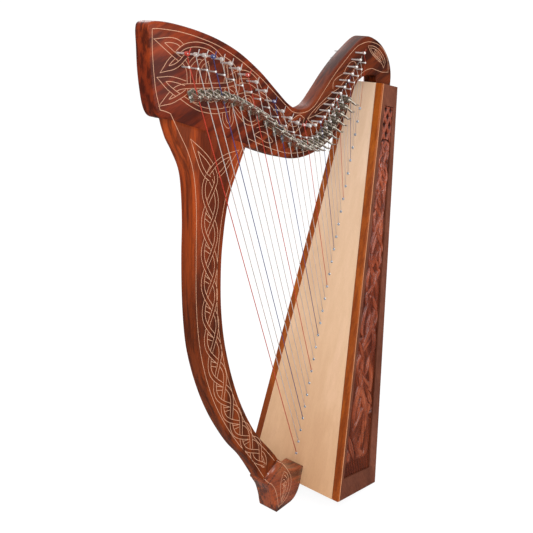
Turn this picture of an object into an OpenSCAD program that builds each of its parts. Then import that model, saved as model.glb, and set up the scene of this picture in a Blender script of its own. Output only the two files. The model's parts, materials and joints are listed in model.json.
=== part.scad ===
// Floor-standing lever harp: soundbox, carved sides, pillar, harmonic-curve neck, strings and sharping levers.
// X runs from the pillar (-X) to the player (+X), -Y is the side with the levers, +Z is up.
// The origin is on the floor, under the middle of the harp. All lengths are in millimetres.

/* [Soundbox] */
// Distance from the origin to the soundboard's bottom edge
box_x = 41; // [30:1:60]
// Height of the soundboard's bottom edge over the floor
box_z = 35; // [35:1:45]
// Lean of the soundboard from upright, in degrees
board_lean = 15.06; // [14:0.01:16]
// Length of the soundboard
board_l = 1072; // [1060:1:1080]
// Half width of the soundbox at the bottom
half_w_low = 155; // [140:1:170]
// Half width of the soundbox at the top
half_w_top = 52.5; // [45:0.5:60]
// Depth of the soundbox at the bottom
depth_low = 183; // [175:1:190]
// Depth of the soundbox at the top
depth_top = 74.4; // [72:0.1:78]
// Thickness of the soundboard and its edge strips
board_t = 5; // [3:0.5:6]
// Width of the dark strip along each edge of the soundboard
strip_w = 20; // [16:1:24]
// Thickness of the side panels
side_t = 12; // [11:1:14]
// Depth of the pocket that holds a carved panel
pocket_t = 6; // [5:0.5:7]
// Thickness of the back panel
back_t = 6; // [4:0.5:8]

/* [Frame] */
// Thickness of the neck and the pillar
neck_t = 38; // [34:1:42]
// Width of the foot block
foot_w = 58; // [50:1:64]

/* [Strings] */
// Distance between two strings along the soundboard
string_step = 33.16; // [33:0.01:33.3]
// Distance of the lowest string from the soundboard's bottom edge
string_start = 76; // [74:1:78]
// Lean of the lowest string from upright, in degrees
lean_low = 20.2; // [20:0.1:20.4]
// Lean of the highest string from upright, in degrees
lean_top = 17.8; // [17.6:0.1:18]
// Thickness of the lowest string
string_d_low = 1.9; // [1.4:0.1:2]
// Thickness of the highest string
string_d_top = 0.8; // [0.6:0.1:1]

/* [Pins and levers] */
// Radius of a tuning pin
tuning_r = 2.1; // [2:0.1:2.5]
// Radius of a bridge pin
bridge_r = 1.5; // [1.3:0.1:1.8]
// How far the tuning pins stand out of the neck
tuning_out = 29; // [28:1:32]
// How far the bridge pins stand out of the neck
bridge_out = 20.5; // [20:0.5:22]
// Distance from a bridge pin to its lever, as a part of the string's length
semitone = 0.056; // [0.055:0.001:0.058]
// Radius of a lever's axle
axle_r = 1.5; // [1.2:0.1:1.8]

/* [Hidden] */
STRINGS = 29;
LEVERS = 24;
STEPS = 5;
fit_gap = 0.05;
seam = 0.02;
big = 400;

// Strings 1, 8, 15, 22 and 29 are red and strings 4, 11, 18 and 25 are blue, as on every harp.
RED = [for (k = [1:7:STRINGS]) k];
BLUE = [for (k = [4:7:STRINGS]) k];
MARKED = concat(RED, BLUE);
PLAIN = [for (k = [1:STRINGS]) if (len(search(k, MARKED)) == 0) k];

function two_digits(k) = k < 10 ? str("0", k) : str(k);
function lever_name(k) = str("lever_", two_digits(k));
function pin_name(k) = str("tuning_pin_", two_digits(k));

// Smooth curve through hand-set points.
function blend(a, b, c, d, t) =
    0.5 * (2 * b + (c - a) * t + (2 * a - 5 * b + 4 * c - d) * t * t
           + (3 * b - a - 3 * c + d) * t * t * t);
function before(p, i) = i > 0 ? p[i - 1] : 2 * p[0] - p[1];
function after(p, i) = i + 2 < len(p) ? p[i + 2] : 2 * p[len(p) - 1] - p[len(p) - 2];
function on_curve(p, i, t) = blend(before(p, i), p[i], p[i + 1], after(p, i), t);
function curve(p) = concat(
    [for (i = [0:len(p) - 2], s = [0:STEPS - 1]) on_curve(p, i, s / STEPS)], [p[len(p) - 1]]);

// Soundbox profile, in the box frame: v runs from the soundboard to the back, u up the soundboard.
foot_rise = 13;
top_rise = 2.7;
rear_low = [depth_low, foot_rise];
rear_top = [depth_top, board_l + top_rise];
back_lean = atan((rear_low[0] - rear_top[0]) / (rear_top[1] - rear_low[1]));
taper = atan((half_w_low - half_w_top) / board_l);
low_slope = foot_rise / depth_low;
top_slope = top_rise / depth_top;
function u_bottom(v) = v * low_slope;
function u_top(v) = board_l + v * top_slope;
function v_rear(u) = depth_low - (u - foot_rise) * tan(back_lean);
function v_back_inner(u) = v_rear(u) - back_t / cos(back_lean);
// Where the back's inner face meets a line this far over the bottom edge, or under the top edge.
function meet_low(h) = let (u = (h + low_slope * v_back_inner(0)) / (1 + low_slope * tan(back_lean)))
    [v_back_inner(u), u];
function meet_top(h) =
    let (u = (board_l - h + top_slope * v_back_inner(0)) / (1 + top_slope * tan(back_lean)))
    [v_back_inner(u), u];
function half_w(u) = half_w_low - u * tan(taper);
function board_x(z) = box_x + (z - box_z) * tan(board_lean);

// The neck stands on the soundbox's top, from here to its rear edge.
function box_top_z(x) =
    let (v = (x - box_x - board_l * sin(board_lean)) / (cos(board_lean) + top_slope * sin(board_lean)))
    box_z + u_top(v) * cos(board_lean) - v * sin(board_lean);
leg_x = 343.6;
leg_rear_x = 408.5;

// The neck meets the pillar, and the pillar meets the foot block, along a straight line.
neck_joint = [[-362, 1067], [-151.5, 988]];
foot_joint = [[-42, 150.5], [-101, 119]];
function on_line(p, x) = [x, p[0][1] + (x - p[0][0]) * (p[1][1] - p[0][1]) / (p[1][0] - p[0][0])];

// Neck outline: front end, top edge to the shoulder and down to the soundbox, then the underside.
neck_top = [
    on_line(neck_joint, -378), [-393, 1079], [-402, 1096], [-407, 1125], [-410, 1165], [-409.5, 1205],
    [-409, 1235], [-401.5, 1246], [-374, 1245], [-333, 1237], [-281, 1223], [-226, 1203.5],
    [-168, 1175.5], [-107, 1134.5], [-57, 1093], [-13, 1056.5], [18, 1040], [50, 1035.5],
    [80, 1044], [117, 1073.5], [155, 1106], [194, 1134], [234, 1157], [270, 1175],
    [296, 1180.5], [328, 1172.5], [360, 1156], [387, 1131], [403, 1105], [410, 1078],
    [leg_rear_x, box_top_z(leg_rear_x) + seam]];
neck_under = [
    [341, 1084], [311, 1090], [281, 1088], [258, 1077], [243, 1060], [231, 1034], [214, 1003],
    [188, 975], [158, 956], [124, 941], [85, 931.5], [45, 928.5], [4, 932], [-35, 942],
    [-80, 958], [-124, 975.5], neck_joint[1]];

// Pillar outline: the front edge downwards, then the rear edge upwards.
pillar_front = [
    neck_joint[0], [-349, 1029], [-335, 1003], [-317, 963], [-311, 920], [-311, 850],
    [-316, 780], [-319, 710], [-319, 640], [-315, 577], [-306, 525], [-291, 469],
    [-270, 409], [-240, 343], [-196, 267], [-150, 204], foot_joint[1]];
pillar_rear = [
    foot_joint[0], [-72, 191], [-118, 252], [-156, 319], [-186, 386], [-207, 448],
    [-222, 505], [-233, 562], [-239, 620], [-240, 680], [-236, 750], [-228, 804],
    [-219, 847], [-205, 892], [-179, 940], neck_joint[1]];

// Foot block outline, over the floor and against the soundboard.
foot_top_z = 84;
foot_front = [[-97, 110.5], [-89, 96.5], [-77, 74], [-68, 45], [-61, 15], [-57, 0]];
foot_heel = [[2, 0], [18, 4], [31, 14], [box_x, box_z]];
foot_cove = [[board_x(foot_top_z), foot_top_z], [30, 87], [8, 95], [-12, 108], [-28, 126],
             foot_joint[0]];

// Strings: length over the board, and the place of each tuning pin over its bridge pin.
length_knots = [1125, 962, 761, 533, 372, 279, 201, 125];
pin_back_knots = [-14, -17, -22, -22, -20, -21, -20, -17];
pin_up_knots = [25.5, 31, 37, 34, 29, 26, 21, 23.5];
function knot_value(p, k) = let (t = (k - 1) / 4, i = min(floor(t), len(p) - 2))
    on_curve(p, i, t - i);
bend_v = -1.6;
function string_r(k) =
    (string_d_low - (string_d_low - string_d_top) * (k - 1) / (STRINGS - 1)) / 2;
function string_lean(k) = lean_low - (lean_low - lean_top) * (k - 1) / (STRINGS - 1);
function string_u(k) = string_start + string_step * (k - 1);
function box_point(v, u) = [
    box_x + v * cos(board_lean) + u * sin(board_lean), 0,
    box_z - v * sin(board_lean) + u * cos(board_lean)];
function board_end(k) = box_point(bend_v, string_u(k));
function along(k, l) = [-l * sin(string_lean(k)), 0, l * cos(string_lean(k))];
string_out = 18;
function bridge_end(k) =
    board_end(k) + along(k, knot_value(length_knots, k)) + [0, -neck_t / 2 - string_out, 0];
function lever_point(k) =
    bridge_end(k) - along(k, semitone * knot_value(length_knots, k)) + [0, string_out, 0];
function tuning_axis(k) = let (b = bridge_end(k))
    [b[0] + knot_value(pin_back_knots, k), 0, b[2] + knot_value(pin_up_knots, k)];

// The string leaves its tuning pin on the player's side, a little further out than the bridge pin.
TURNS = 4;
coil_out = 22.5;
coil_in = (tuning_r + fit_gap) / cos(15);
function coil_r(k) = coil_in + 1.15 * string_r(k);
function tangent_point(k) =
    let (b = bridge_end(k), t = tuning_axis(k), d = norm([b[0] - t[0], b[2] - t[2]]),
         a = atan2(b[2] - t[2], b[0] - t[0]) + acos(coil_r(k) / d))
    [t[0] + coil_r(k) * cos(a), -neck_t / 2 - coil_out, t[2] + coil_r(k) * sin(a)];

// The bridge pin stands on the pillar side of the string's bend, just clear of it.
function bridge_axis(k) =
    let (b = bridge_end(k), t = tangent_point(k), up = atan2(t[2] - b[2], t[0] - b[0]),
         down = -90 + string_lean(k), half_bend = (180 - (up - down)) / 2,
         a = (up + down) / 2 + 180, d = (bridge_r + string_r(k) + 0.05) / cos(half_bend))
    [b[0] + d * cos(a), 0, b[2] + d * sin(a)];

// Lever frame: origin on the neck's face under the string, z up the string, -y out of the neck.
pivot_out = 22;
bracket_left = -10.5;
bracket_half = 5.5;
cheek_in = 3.7;
plate_t = 3;
knuckle_r = 5.5;
screw_x = -8.05;
screw_z = 2;
screw_r = 1.6;
screw_in = 12;
lever_reach = 27;
function plate_up(k) = min(15, semitone * knot_value(length_knots, k) - 3.2);
function lever_droop(k) = 10 + 23 * (k - 1) / (LEVERS - 1);

// Dowels: centre, lean from upright, radius and half length.
frame_dowels = [
    [[-305, 0, 1045.6], 20.57, 6, 30],
    [[-215, 0, 1011.8], 20.57, 6, 30],
    [[-71.5, 0, 134.7], -28.1, 8, 30],
    [[357, 0, box_top_z(357)], 12.8, 4, 22],
    [[375, 0, box_top_z(375)], 12.8, 4, 22]];
foot_dowel_y = 15;
foot_dowel_u = 7;
foot_dowel_r = 3.5;

// Sound holes in the back: height up the back, width and length.
sound_holes = [[200, 80, 130], [430, 70, 118], [640, 60, 104], [830, 50, 90]];

module plate(points, t) {
    rotate([90, 0, 0]) linear_extrude(t, center = true) polygon(points);
}

// A straight eight-sided rod between two points, running a little past the second one.
module rod(a, b, r) {
    d = b - a;
    translate(a) rotate([0, acos(d[2] / norm(d)), atan2(d[1], d[0])])
        cylinder(h = norm(d) + r / 3, r = r, $fn = 8);
}

module box_frame() {
    translate([box_x, 0, box_z]) rotate([0, board_lean, 0]) children();
}

module right_face() {
    translate([0, half_w_low, 0]) rotate([taper, 0, 0]) children();
}

module back_face() {
    translate([rear_low[0], 0, rear_low[1]]) rotate([0, -back_lean, 0]) children();
}

// A layer of the right side between two depths under its outer face, cut to a (v, u) outline.
module side_layer(outer, inner, points) {
    intersection() {
        right_face() translate([-big / 2, -inner, -50]) cube([big, inner - outer, board_l + 150]);
        plate(points, big);
    }
}

// Everything between the inner faces of two planes this far under the outer faces of the sides.
module between_sides(inset, v0 = -50, v1 = 300) {
    w = inset / cos(taper);
    translate([v0, 0, 0]) rotate([90, 0, 90]) linear_extrude(v1 - v0)
        polygon([[-half_w(-60) + w, -60], [half_w(-60) - w, -60],
                 [half_w(1150) - w, 1150], [-half_w(1150) + w, 1150]]);
}

function full_profile(v0) = [
    [v0, u_bottom(v0)], rear_low, rear_top, [v0, u_top(v0)]];
function strip_profile(v0, v1) = [
    [v0, u_bottom(v0)], [v1, u_bottom(v1)], [v1, u_top(v1)], [v0, u_top(v0)]];

module neck_outline() {
    polygon(concat([neck_joint[0]], curve(neck_top), [[leg_x, box_top_z(leg_x) + seam]],
                   curve(neck_under)));
}

module neck() {
    color("saddlebrown") difference() {
        rotate([90, 0, 0]) linear_extrude(neck_t, center = true) neck_outline();
        for (k = [1:STRINGS]) {
            translate(tuning_axis(k)) rotate([90, 0, 0])
                cylinder(h = 2 * neck_t, r = tuning_r + fit_gap, center = true, $fn = 32);
            translate(bridge_axis(k) + [0, -4, 0]) rotate([90, 0, 0])
                cylinder(h = neck_t, r = bridge_r + 0.02, $fn = 32);
        }
        for (k = [1:LEVERS]) lever_frame(k) translate([screw_x, screw_in, screw_z])
            rotate([90, 0, 0]) cylinder(h = 2 * screw_in, r = screw_r + 0.02, $fn = 32);
        dowel_bores();
    }
}

module pillar() {
    color("sienna") difference() {
        plate(concat(curve(pillar_front), curve(pillar_rear)), neck_t);
        dowel_bores();
    }
}

module foot_block() {
    color("sienna") difference() {
        plate(concat([foot_joint[1]], curve(foot_front), curve(foot_heel), curve(foot_cove)), foot_w);
        dowel_bores();
        foot_dowels(foot_dowel_r + fit_gap);
    }
}

module frame_dowel(d, gap) {
    translate(d[0]) rotate([0, d[1], 0])
        cylinder(h = 2 * (d[3] + gap), r = d[2] + gap, center = true, $fn = 32);
}

module dowel_bores() {
    for (d = frame_dowels) frame_dowel(d, fit_gap);
}

module foot_dowels(r) {
    for (s = [-1, 1]) box_frame() translate([-20 - r + foot_dowel_r, s * foot_dowel_y, foot_dowel_u])
        rotate([0, 90, 0]) cylinder(h = 40 + 2 * (r - foot_dowel_r), r = r, $fn = 32);
}

module dowels() {
    color("burlywood") {
        for (d = frame_dowels) frame_dowel(d, 0);
        foot_dowels(foot_dowel_r);
    }
}

module string_holes(r, v0, v1) {
    for (k = [1:STRINGS]) translate([v0, 0, string_u(k)]) rotate([0, 90, 0])
        cylinder(h = v1 - v0, r = r, $fn = 32);
}

module soundboard() {
    color("wheat") difference() {
        box_frame() difference() {
            intersection() {
                between_sides(strip_w + seam);
                plate(strip_profile(0, board_t), big);
            }
            string_holes(2.35, -1, board_t + 1);
        }
        foot_dowels(foot_dowel_r + fit_gap);
    }
}

rib_w = 26;
rib_t = 6;
bottom_t = 14;
block_t = 40;
module string_rib() {
    color("burlywood") box_frame() difference() {
        plate_at = [board_t, -rib_w / 2, bottom_t + 3];
        translate(plate_at) cube([rib_t, rib_w, board_l - block_t - bottom_t - 6]);
        string_holes(1.6, board_t - 1, board_t + rib_t + 1);
    }
}

pocket_outline = [[18, 58], [143, 63], [64, 1022], [23, 1022]];
binding_t = 2.5;
module side_panel() {
    box_frame() difference() {
        side_layer(0, side_t, full_profile(board_t + binding_t));
        side_layer(-1, pocket_t, pocket_outline);
    }
}

module carved_panel() {
    box_frame() side_layer(1, pocket_t, pocket_outline);
}

module edge_strip() {
    box_frame() side_layer(0, strip_w, strip_profile(0, board_t));
}

module binding() {
    box_frame() side_layer(0, side_t, strip_profile(board_t, board_t + binding_t));
}

module left() {
    mirror([0, 1, 0]) children();
}

module back_panel() {
    color("saddlebrown") box_frame() difference() {
        intersection() {
            between_sides(side_t);
            plate([rear_low, rear_top, meet_top(0), meet_low(0)], big);
        }
        for (h = sound_holes) back_face() translate([-20, 0, h[0]]) rotate([90, 0, 90])
            linear_extrude(40) sound_hole(h[1] / 2, h[2]);
    }
}

module sound_hole(r, l) {
    for (s = [-1, 1]) translate([0, s * (l / 2 - r)]) circle(r, $fn = 48);
    square([2 * r, l - 2 * r], center = true);
}

module bottom_board() {
    color("saddlebrown") difference() {
        box_frame() intersection() {
            between_sides(side_t);
            plate([[board_t, u_bottom(board_t)], meet_low(0), meet_low(bottom_t),
                   [board_t, u_bottom(board_t) + bottom_t]], big);
        }
        foot_dowels(foot_dowel_r + fit_gap);
    }
}

module top_block() {
    color("saddlebrown") difference() {
        box_frame() intersection() {
            between_sides(side_t);
            plate([[board_t, u_top(board_t)], meet_top(0) - [seam, 0], meet_top(block_t) - [seam, 0],
                   [board_t, u_top(board_t) - block_t]], big);
        }
        dowel_bores();
    }
}

lining_w = 10;
lining_low = 30;
lining_top = 1020;
module linings() {
    front = [[board_t, lining_low], [board_t + lining_w, lining_low],
             [board_t + lining_w, lining_top], [board_t, lining_top]];
    rear = [for (e = [[seam, lining_low], [seam, lining_top], [lining_w, lining_top],
                      [lining_w, lining_low]]) [v_back_inner(e[1]) - e[0], e[1]]];
    color("burlywood") box_frame() for (points = [front, rear], s = [0, 1]) mirror([0, s, 0])
        intersection() {
            side_layer(side_t, side_t + lining_w, full_profile(0));
            plate(points, big);
        }
}

module back_braces() {
    color("burlywood") box_frame() for (u = [320, 540, 740]) intersection() {
        between_sides(side_t + lining_w + seam);
        plate([for (e = [[seam, 0], [seam, 14], [9, 14], [9, 0]])
                   [v_back_inner(u + e[1]) - e[0], u + e[1]]], big);
    }
}

module grommets() {
    color("silver") box_frame() difference() {
        union() {
            string_holes(3.4, -0.8, 0);
            string_holes(2.35, -0.1, board_t);
        }
        string_holes(1.5, -2, board_t + 1);
    }
}

module bridge_pins() {
    color("silver") for (k = [1:STRINGS]) translate(bridge_axis(k) + [0, -4, 0])
        rotate([90, 0, 0]) cylinder(h = neck_t / 2 - 4 + bridge_out, r = bridge_r, $fn = 32);
}

square_l = 14;
far_out = 24;
module tuning_pin(k) {
    tip = neck_t / 2 + tuning_out;
    head = neck_t / 2 + far_out;
    color("silver") translate(tuning_axis(k)) {
        translate([0, head - square_l, 0]) rotate([90, 0, 0])
            cylinder(h = tip + head - square_l, r = tuning_r, $fn = 32);
        translate([-1.5, head - square_l, -1.5]) cube([3, square_l, 3]);
    }
}

module lever_frame(k) {
    translate(lever_point(k)) rotate([0, -string_lean(k), 0]) children();
}

// Shapes in a lever's swing plane, drawn with x out of the neck and y up the string.
module swing_plate(x0, t) {
    translate([x0, 0, 0]) rotate([90, 0, -90]) mirror([0, 0, 1]) linear_extrude(t) children();
}

module lever_bracket(k) {
    up = plate_up(k);
    difference() {
        union() {
            translate([bracket_left, -plate_t, -8]) cube([bracket_half - bracket_left, plate_t, up + 8]);
            for (x0 = [-bracket_half, cheek_in]) swing_plate(x0, bracket_half - cheek_in) union() {
                polygon([[plate_t / 2, -7], [plate_t / 2, up], [pivot_out + 2, knuckle_r - 0.4],
                         [pivot_out + 2, -knuckle_r + 0.4]]);
                translate([pivot_out, 0]) circle(knuckle_r, $fn = 40);
            }
            translate([-cheek_in - 0.1, -14.4, -1.2]) cube([2 * cheek_in + 0.2, 14.4 - 1, 2.4]);
        }
        translate([-20, -pivot_out, 0]) rotate([0, 90, 0])
            cylinder(h = 40, r = axle_r + fit_gap, $fn = 32);
        translate([screw_x, 1, screw_z]) rotate([90, 0, 0]) cylinder(h = 10, r = screw_r + 0.02, $fn = 32);
    }
}

module lever_brackets() {
    color("silver") for (k = [1:LEVERS]) lever_frame(k) lever_bracket(k);
}

module lever_screws() {
    color("silver") for (k = [1:LEVERS]) lever_frame(k) {
        translate([screw_x, screw_in, screw_z]) rotate([90, 0, 0])
            cylinder(h = screw_in + plate_t, r = screw_r, $fn = 32);
        translate([screw_x, -plate_t, screw_z]) rotate([90, 0, 0])
            cylinder(h = 1.5, r1 = 2.5, r2 = 1.8, $fn = 32);
    }
}

module lever(k) {
    leaf = [[0, 3.4], [8, 3.2], [15, 3.6], [21, 2.2], [lever_reach, 0.6], [lever_reach, -0.4],
            [20, -2.6], [13, -3.6], [6, -3.6], [0, -3.4]];
    color("silver") lever_frame(k) translate([0, -pivot_out, 0]) {
        translate([-3.5, 0, 0]) rotate([0, 90, 0]) cylinder(h = 7, r = 4.5, $fn = 40);
        translate([-6, 0, 0]) rotate([0, 90, 0]) cylinder(h = 12, r = axle_r, $fn = 32);
        rotate([lever_droop(k), 0, 0]) swing_plate(-2, 4) polygon(leaf);
    }
}

module harp_string(k) {
    r = string_r(k);
    rod(box_point(board_t + rib_t + 1, string_u(k)), board_end(k), r);
    rod(board_end(k), bridge_end(k), r);
    rod(tangent_point(k), bridge_end(k), r);
    box_frame() translate([board_t + rib_t, 0, string_u(k)]) rotate([0, 90, 0])
        cylinder(h = 4, r = 3, $fn = 8);
    translate(tuning_axis(k) - [0, neck_t / 2 + coil_out - 1.3 * r, 0]) rotate([90, 0, 0])
        difference() {
            cylinder(h = TURNS * 2.1 * r, r = coil_in + 2.4 * r, $fn = 12);
            translate([0, 0, -1]) cylinder(h = 20, r = coil_in, $fn = 12);
        }
}

neck();
pillar();
foot_block();
soundboard();
string_rib();
color("saddlebrown") left() side_panel();  // left_side
color("saddlebrown") side_panel();  // right_side
color("brown") left() carved_panel();  // left_carved_panel
color("brown") carved_panel();  // right_carved_panel
color("sienna") left() edge_strip();  // left_edge_strip
color("sienna") edge_strip();  // right_edge_strip
color("tan") left() binding();  // left_binding
color("tan") binding();  // right_binding
back_panel();
bottom_board();
top_block();
linings();
back_braces();
dowels();
grommets();
bridge_pins();
lever_brackets();
lever_screws();
color("firebrick") for (k = RED) harp_string(k);  // strings_red
color("navy") for (k = BLUE) harp_string(k);  // strings_blue
color("white") for (k = PLAIN) harp_string(k);  // strings_white
for (k = PLAIN) tuning_pin(k);  // tuning_pins
for (k = MARKED) tuning_pin(k);
for (k = [1:LEVERS]) lever(k);
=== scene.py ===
"""Looks of a floor-standing lever harp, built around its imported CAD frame.

Blender units are metres. Outlines and inlay drawings lie in the XZ plane and are given in millimetres.
-Y is the side with the levers, which the camera sees.
"""
import json
import math
import random

import bmesh
import bpy
import numpy as np
from mathutils import Matrix, Vector


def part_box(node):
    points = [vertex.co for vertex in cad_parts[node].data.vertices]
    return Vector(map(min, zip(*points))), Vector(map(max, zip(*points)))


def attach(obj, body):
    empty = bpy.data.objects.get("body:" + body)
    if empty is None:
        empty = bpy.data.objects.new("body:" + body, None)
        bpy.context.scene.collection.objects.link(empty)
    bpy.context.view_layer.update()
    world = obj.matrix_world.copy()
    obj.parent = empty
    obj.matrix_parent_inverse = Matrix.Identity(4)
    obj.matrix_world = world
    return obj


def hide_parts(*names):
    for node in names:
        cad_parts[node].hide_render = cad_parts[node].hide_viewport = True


MM = 0.001
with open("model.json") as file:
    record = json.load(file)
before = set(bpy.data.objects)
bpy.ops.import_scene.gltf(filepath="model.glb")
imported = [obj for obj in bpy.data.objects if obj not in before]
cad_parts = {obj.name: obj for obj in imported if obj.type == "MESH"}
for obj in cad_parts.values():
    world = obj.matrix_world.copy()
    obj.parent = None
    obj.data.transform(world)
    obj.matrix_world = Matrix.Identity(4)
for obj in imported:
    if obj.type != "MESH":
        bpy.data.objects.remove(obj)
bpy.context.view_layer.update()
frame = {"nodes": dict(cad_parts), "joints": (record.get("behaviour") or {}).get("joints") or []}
NODES = frame["nodes"]
JOINTS = {j["child"]: j for j in frame["joints"]}
random.seed(29)

STRINGS = 29
LEVERS = 24
RED = range(1, STRINGS + 1, 7)
BLUE = range(4, STRINGS + 1, 7)
MARKED = sorted([*RED, *BLUE])
STRING_D_LOW, STRING_D_TOP = 1.9 * MM, 0.8 * MM
COIL_TURNS = 4
LEFT, RIGHT = -1, 1


# ---------------------------------------------------------------- materials

def new_material(name):
    material = bpy.data.materials.new(name)
    material.use_nodes = True
    tree = material.node_tree
    return material, tree, tree.nodes["Principled BSDF"]


def node(tree, kind, inputs=(), **settings):
    """A shader node with its settings and its plain input values or links."""
    made = tree.nodes.new(kind)
    for key, value in settings.items():
        setattr(made, key, value)
    for key, value in dict(inputs).items():
        if isinstance(value, bpy.types.NodeSocket):
            tree.links.new(value, made.inputs[key])
        else:
            made.inputs[key].default_value = value
    return made


def ramp(tree, factor, stops):
    made = node(tree, "ShaderNodeValToRGB", {"Fac": factor})
    elements = made.color_ramp.elements
    while len(elements) < len(stops):
        elements.new(0.5)
    for element, (at, colour) in zip(elements, stops):
        element.position = at
        element.color = (*colour, 1) if len(colour) == 3 else colour
    return made


def mix(tree, factor, a, b, blend="MIX"):
    made = node(tree, "ShaderNodeMix", data_type="RGBA", blend_type=blend)
    for socket, value in ((0, factor), (6, a), (7, b)):
        if isinstance(value, bpy.types.NodeSocket):
            tree.links.new(value, made.inputs[socket])
        else:
            made.inputs[socket].default_value = value if socket == 0 else (*value, 1)
    return made.outputs[2]


def grain_space(tree, tilt, shift, stretch=0.09):
    """Coordinates squeezed along the grain, which runs up Z turned by tilt degrees towards the pillar.
    The growth layers lie along the board's face, so its edges show fine parallel lines."""
    where = node(tree, "ShaderNodeTexCoord").outputs["Object"]
    turned = node(tree, "ShaderNodeMapping", {
        "Vector": where, "Rotation": (0, math.radians(tilt), 0), "Location": shift})
    return node(tree, "ShaderNodeMapping", {
        "Vector": turned.outputs[0], "Scale": (0.7, 1.8, stretch)}).outputs[0]


def wood(name, tones, tilt, shift=(0, 0, 0), streaks=0.85, gloss=0.34, figure=9.0, pores=0.6, coat=0.08,
         attribute=None, fade=None):
    """Lacquered wood: broad colour bands, dark streaks, fine fibres and open pores along the grain.
    tones are the dark streak, deep, middle and light colours."""
    material, tree, shader = new_material(name)
    space = grain_space(tree, tilt, shift)
    warp = node(tree, "ShaderNodeTexNoise", {"Vector": space, "Scale": 4.0, "Detail": 2.0})
    warped = node(tree, "ShaderNodeVectorMath", {0: warp.outputs["Color"], 1: (0.035, 0.035, 0.035)},
                  operation="MULTIPLY")
    bent = node(tree, "ShaderNodeVectorMath", {0: space, 1: warped.outputs[0]}, operation="ADD").outputs[0]
    bands = node(tree, "ShaderNodeTexNoise", {
        "Vector": bent, "Scale": figure, "Detail": 5.0, "Roughness": 0.55, "Distortion": 0.6})
    rings = node(tree, "ShaderNodeTexNoise", {
        "Vector": bent, "Scale": figure * 5, "Detail": 6.0, "Roughness": 0.62})
    fibres = node(tree, "ShaderNodeTexNoise", {
        "Vector": space, "Scale": 420.0, "Detail": 2.0, "Roughness": 0.6})
    dark, deep, middle, light = tones
    base = ramp(tree, bands.outputs["Fac"], [(0.3, deep), (0.5, middle), (0.68, light)])
    lines = ramp(tree, rings.outputs["Fac"], [(0.42, (1, 1, 1)), (0.56, (0, 0, 0))])
    strength = node(tree, "ShaderNodeMath", {0: lines.outputs[0], 1: streaks}, operation="MULTIPLY")
    streaked = mix(tree, strength.outputs[0], base.outputs[0], dark)
    fine = ramp(tree, fibres.outputs["Fac"], [(0.3, (0.62, 0.56, 0.52)), (0.6, (1.08, 1.06, 1.04))])
    colour = mix(tree, pores, streaked, fine.outputs[0], "MULTIPLY")
    if fade:
        axis, start, end, tints = fade
        place = node(tree, "ShaderNodeSeparateXYZ", {
            "Vector": node(tree, "ShaderNodeTexCoord").outputs["Object"]})
        share = node(tree, "ShaderNodeMapRange", {
            "Value": place.outputs[axis], "From Min": start, "From Max": end})
        colour = mix(tree, 1.0, colour, ramp(tree, share.outputs[0], tints).outputs[0], "MULTIPLY")
    # With a relief attribute, the relief height paints shade into the carving's hollows and walls and a
    # blue-white painted highlight onto its raised tops; it also sets the coat's weight.
    if attribute:
        depth = node(tree, "ShaderNodeAttribute", attribute_name=attribute)
        shade = ramp(tree, depth.outputs["Fac"], [(0.04, (0.10, 0.08, 0.08)), (0.4, (0.62, 0.58, 0.56)),
                                                  (0.72, (1.1, 1.1, 1.1)), (1.0, (1.5, 2.0, 2.6))])
        colour = mix(tree, 1.0, colour, shade.outputs[0], "MULTIPLY")
        shine = node(tree, "ShaderNodeMath", {0: depth.outputs["Fac"], 1: coat}, operation="MULTIPLY")
        tree.links.new(shine.outputs[0], shader.inputs["Coat Weight"])
    tree.links.new(colour, shader.inputs["Base Color"])
    rough = ramp(tree, fibres.outputs["Fac"], [(0.3, (gloss + 0.14,) * 3), (0.7, (gloss,) * 3)])
    tree.links.new(rough.outputs[0], shader.inputs["Roughness"])
    bump = node(tree, "ShaderNodeBump", {
        "Height": fibres.outputs["Fac"], "Strength": 0.12, "Distance": 0.0004})
    tree.links.new(bump.outputs[0], shader.inputs["Normal"])
    shader.inputs["Coat Weight"].default_value = coat
    shader.inputs["Coat Roughness"].default_value = 0.16
    shader.inputs["Specular IOR Level"].default_value = 0.15
    return material


def mottled(name, colour, scale, detail, low, top, rough):
    """A material whose colour drifts, by a noise, from the share low of itself to all of itself at top."""
    material, tree, shader = new_material(name)
    where = node(tree, "ShaderNodeTexCoord").outputs["Object"]
    cloud = node(tree, "ShaderNodeTexNoise", {"Vector": where, "Scale": scale, "Detail": detail})
    shade = ramp(tree, cloud.outputs["Fac"], [(0.3, tuple(c * low for c in colour)), (top, colour)])
    tree.links.new(shade.outputs[0], shader.inputs["Base Color"])
    shader.inputs["Roughness"].default_value = rough
    return material, tree, shader, where, cloud


def metal(name, colour, rough, wear=0.12, shine=0.6):
    """Plated metal with soft cloudy wear and fine scratches."""
    material, tree, shader, where, cloud = mottled(name, colour, 260.0, 4.0, 1 - 2.2 * wear, 0.62, rough)
    scratch = node(tree, "ShaderNodeTexNoise", {"Vector": where, "Scale": 1800.0, "Detail": 2.0})
    spread = ramp(tree, cloud.outputs["Fac"], [(0.3, (rough + wear,) * 3), (0.7, (rough,) * 3)])
    tree.links.new(spread.outputs[0], shader.inputs["Roughness"])
    bump = node(tree, "ShaderNodeBump", {
        "Height": scratch.outputs["Fac"], "Strength": 0.08, "Distance": 0.0001})
    tree.links.new(bump.outputs[0], shader.inputs["Normal"])
    shader.inputs["Metallic"].default_value = shine
    return material


def nylon(name, colour):
    """A dyed nylon string: glossy, with a faint change of tone along it."""
    material, _, shader, _, _ = mottled(name, colour, 60.0, 3.0, 0.82, 0.7, 0.32)
    shader.inputs["Subsurface Weight"].default_value = 0.15
    shader.inputs["Subsurface Scale"].default_value = 0.001
    return material


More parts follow.
